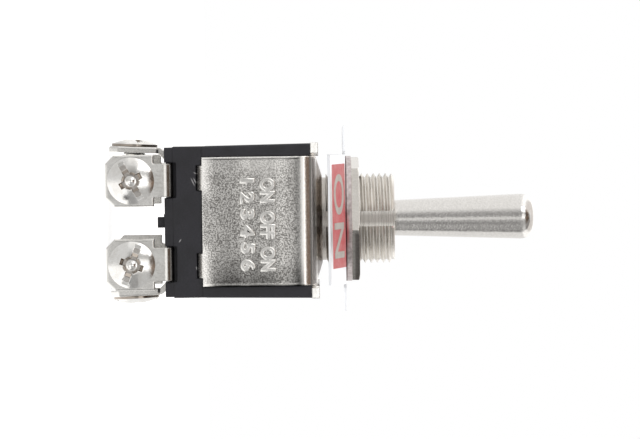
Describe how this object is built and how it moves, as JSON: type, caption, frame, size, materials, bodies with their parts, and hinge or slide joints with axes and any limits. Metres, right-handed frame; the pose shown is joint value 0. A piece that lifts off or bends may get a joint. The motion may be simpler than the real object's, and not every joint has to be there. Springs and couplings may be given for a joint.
{
  "type": "toggle switch",
  "caption": "Panel-mount toggle switch with a bat lever on a threaded bushing, a black case in a folded metal frame, and screw terminals below.",
  "frame": {"origin": "under the bushing's axis, level with the free ends of the terminals", "axes": "+Z along the bushing towards the lever's tip, +X across the two poles, +Y along the throw towards the back; the front with the keyway is -Y"},
  "size_m": [0.0246, 0.0368, 0.0561],
  "materials": {
    "nickel_sheet": "nickel-plated pressed sheet, satin with scuffs",
    "nickel_turned": "nickel-plated turned metal",
    "satin_nickel": "satin nickel plate",
    "screw_nickel": "bright nickel plate",
    "indicator_sheet": "thin sheet, printed fields",
    "black_moulding": "dull moulded phenolic",
    "pale_nylon": "natural nylon",
    "brass": "bare brass",
    "contact_silver": "silver contact metal",
    "spring_steel": "spring wire",
    "steel_pin": "ground pin"
  },
  "bodies": {
    "switch_body": {"mounting_frame": "nickel_sheet", "bushing": "nickel_turned", "housing": "black_moulding", "base": "black_moulding", "indicator_plate": "indicator_sheet", "lock_washer": "nickel_turned", "hex_nut": "nickel_turned", "cradle_left": "brass", "terminal_common_left": "nickel_sheet", "terminal_front_left": "nickel_sheet", "fixed_contact_front_left": "contact_silver", "terminal_back_left": "nickel_sheet", "fixed_contact_back_left": "contact_silver", "cradle_right": "brass", "terminal_common_right": "nickel_sheet", "terminal_front_right": "nickel_sheet", "fixed_contact_front_right": "contact_silver", "terminal_back_right": "nickel_sheet", "fixed_contact_back_right": "contact_silver", "screw_front_left": "screw_nickel", "screw_front_right": "screw_nickel", "screw_back_left": "screw_nickel", "screw_back_right": "screw_nickel", "screw_common_left": "screw_nickel", "screw_common_right": "screw_nickel"},
    "lever": {"lever": "satin_nickel", "lever_pin": "steel_pin", "actuator": "pale_nylon", "spring_left": "spring_steel", "spring_right": "spring_steel"},
    "plunger_left": {"plunger_left": "brass"},
    "rocker_left": {"rocker_left": "brass", "moving_contact_front_left": "contact_silver", "moving_contact_back_left": "contact_silver"},
    "plunger_right": {"plunger_right": "brass"},
    "rocker_right": {"rocker_right": "brass", "moving_contact_front_right": "contact_silver", "moving_contact_back_right": "contact_silver"}
  },
  "joints": [
    {"name": "lever_tilt", "type": "hinge", "parent": "switch_body", "child": "lever", "pos_m": [0, 0, 0.03095], "axis": [1, 0, 0], "range_deg": [-12, 12]},
    {"name": "rocker_left_tilt", "type": "hinge", "parent": "switch_body", "child": "rocker_left", "pos_m": [-0.00545, 0, 0.01538], "axis": [1, 0, 0], "range_deg": [-8, 8]},
    {"name": "plunger_left_slide", "type": "slide", "parent": "lever", "child": "plunger_left", "axis": [0, 0, 1], "range_m": [0, 0.0008], "stiffness_N_per_m": 300, "deforming": ["spring_left"]},
    {"name": "rocker_right_tilt", "type": "hinge", "parent": "switch_body", "child": "rocker_right", "pos_m": [0.00545, 0, 0.01538], "axis": [1, 0, 0], "range_deg": [-8, 8]},
    {"name": "plunger_right_slide", "type": "slide", "parent": "lever", "child": "plunger_right", "axis": [0, 0, 1], "range_m": [0, 0.0008], "stiffness_N_per_m": 300, "deforming": ["spring_right"]}
  ],
  "couplings": [
    {"joint": "rocker_left_tilt", "follows": "lever_tilt", "ratio": -0.66667},
    {"joint": "rocker_right_tilt", "follows": "lever_tilt", "ratio": -0.66667}
  ]
}
